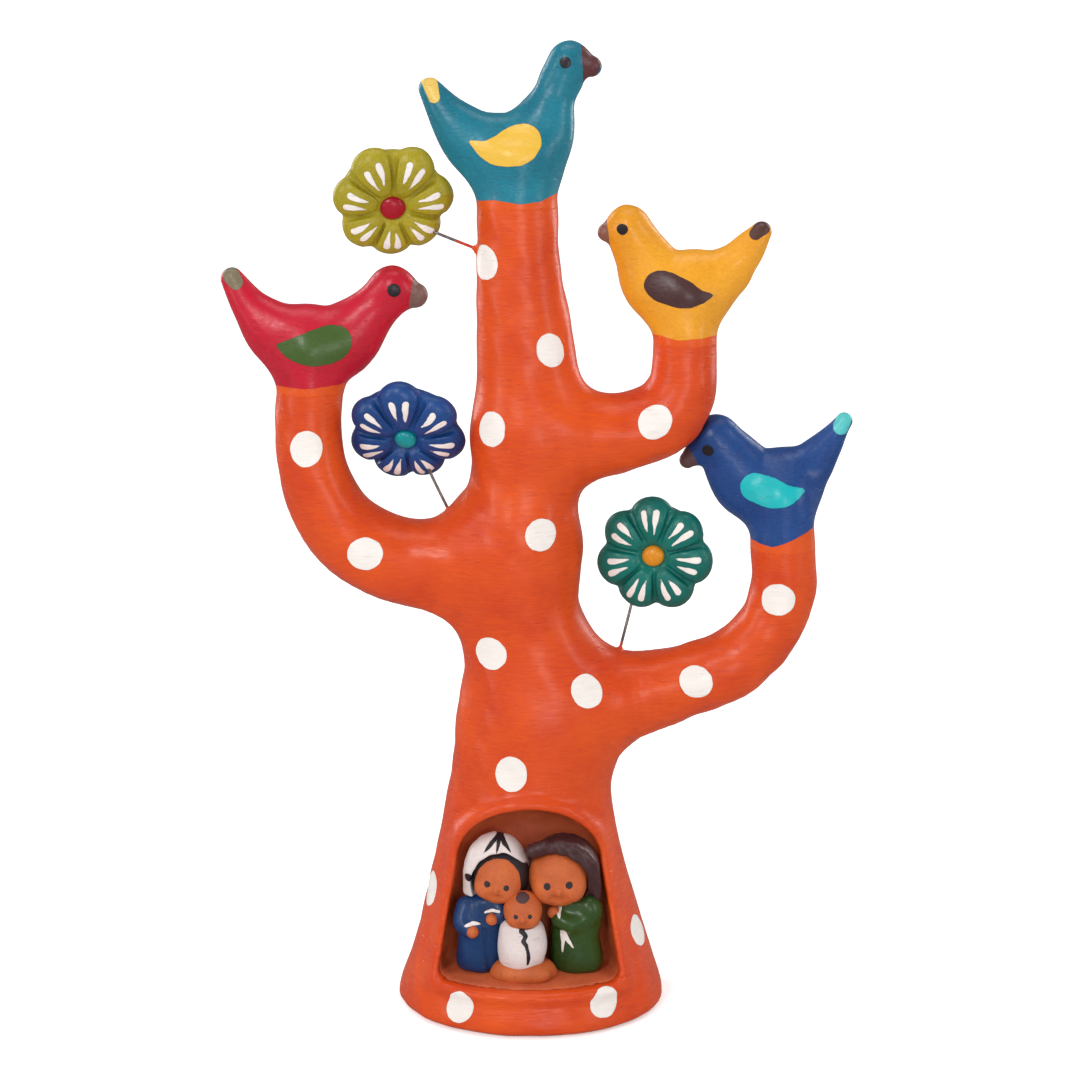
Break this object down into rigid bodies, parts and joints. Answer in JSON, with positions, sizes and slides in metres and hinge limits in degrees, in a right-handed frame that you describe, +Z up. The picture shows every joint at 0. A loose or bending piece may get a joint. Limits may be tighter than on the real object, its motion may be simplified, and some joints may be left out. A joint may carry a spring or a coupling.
{
  "type": "clay tree of life",
  "caption": "Painted clay tree of life with J-shaped branches, a bird on each tip, wire-mounted flowers and a nativity in an arched niche.",
  "frame": {"origin": "on the ground at the centre of the trunk's oval foot", "axes": "+Z up, -Y towards the front where the niche opens, +X to the right seen from the front"},
  "size_m": [0.1606, 0.0643, 0.25],
  "materials": {
    "orange_paint": "satin hand-brushed acrylic over fired clay, with white dots",
    "teal_paint": "satin hand-brushed acrylic",
    "red_paint": "satin hand-brushed acrylic",
    "yellow_paint": "satin hand-brushed acrylic",
    "blue_paint": "satin hand-brushed acrylic",
    "lime_paint": "satin hand-brushed acrylic with white strokes",
    "green_paint": "satin hand-brushed acrylic with white strokes",
    "bare_clay": "matt unpainted terracotta",
    "skin_clay": "matt unpainted terracotta",
    "white_paint": "satin hand-brushed acrylic",
    "brown_paint": "satin hand-brushed acrylic",
    "robe_green_paint": "satin hand-brushed acrylic",
    "steel_wire": "drawn wire"
  },
  "bodies": {
    "tree": {"trunk": "orange_paint", "left_branch": "orange_paint", "upper_right_branch": "orange_paint", "lower_right_branch": "orange_paint", "niche_liner": "bare_clay", "base_slab": "bare_clay", "manger": "bare_clay", "teal_bird": "teal_paint", "red_bird": "red_paint", "yellow_bird": "yellow_paint", "blue_bird": "blue_paint", "yellow_flower_dab": "orange_paint", "blue_flower_dab": "orange_paint", "green_flower_dab": "orange_paint", "mother_robe": "blue_paint", "mother_head": "skin_clay", "mother_headscarf": "white_paint", "mother_hands": "skin_clay", "father_robe": "robe_green_paint", "father_head": "skin_clay", "father_hair": "brown_paint", "father_hand": "skin_clay", "child_swaddling": "white_paint", "child_head": "skin_clay"},
    "yellow_flower": {"yellow_flower_petals": "lime_paint", "yellow_flower_centre": "red_paint", "yellow_flower_stem": "steel_wire"},
    "blue_flower": {"blue_flower_petals": "blue_paint", "blue_flower_centre": "teal_paint", "blue_flower_stem": "steel_wire"},
    "green_flower": {"green_flower_petals": "green_paint", "green_flower_centre": "yellow_paint", "green_flower_stem": "steel_wire"}
  },
  "joints": [
    {"name": "yellow_flower_nod", "type": "hinge", "parent": "tree", "child": "yellow_flower", "pos_m": [-0.0137, 0, 0.1983], "axis": [0.3602, 0, 0.9329], "range_deg": [-6, 6], "stiffness_Nm_per_rad": 0.6, "deforming": ["yellow_flower_stem"]},
    {"name": "blue_flower_nod", "type": "hinge", "parent": "tree", "child": "blue_flower", "pos_m": [-0.021, 0, 0.1304], "axis": [0.8965, 0, 0.443], "range_deg": [-6, 6], "stiffness_Nm_per_rad": 0.6, "deforming": ["blue_flower_stem"]},
    {"name": "green_flower_nod", "type": "hinge", "parent": "tree", "child": "green_flower", "pos_m": [0.0226, 0, 0.094], "axis": [0.9699, 0, -0.2436], "range_deg": [-6, 6], "stiffness_Nm_per_rad": 0.6, "deforming": ["green_flower_stem"]}
  ]
}
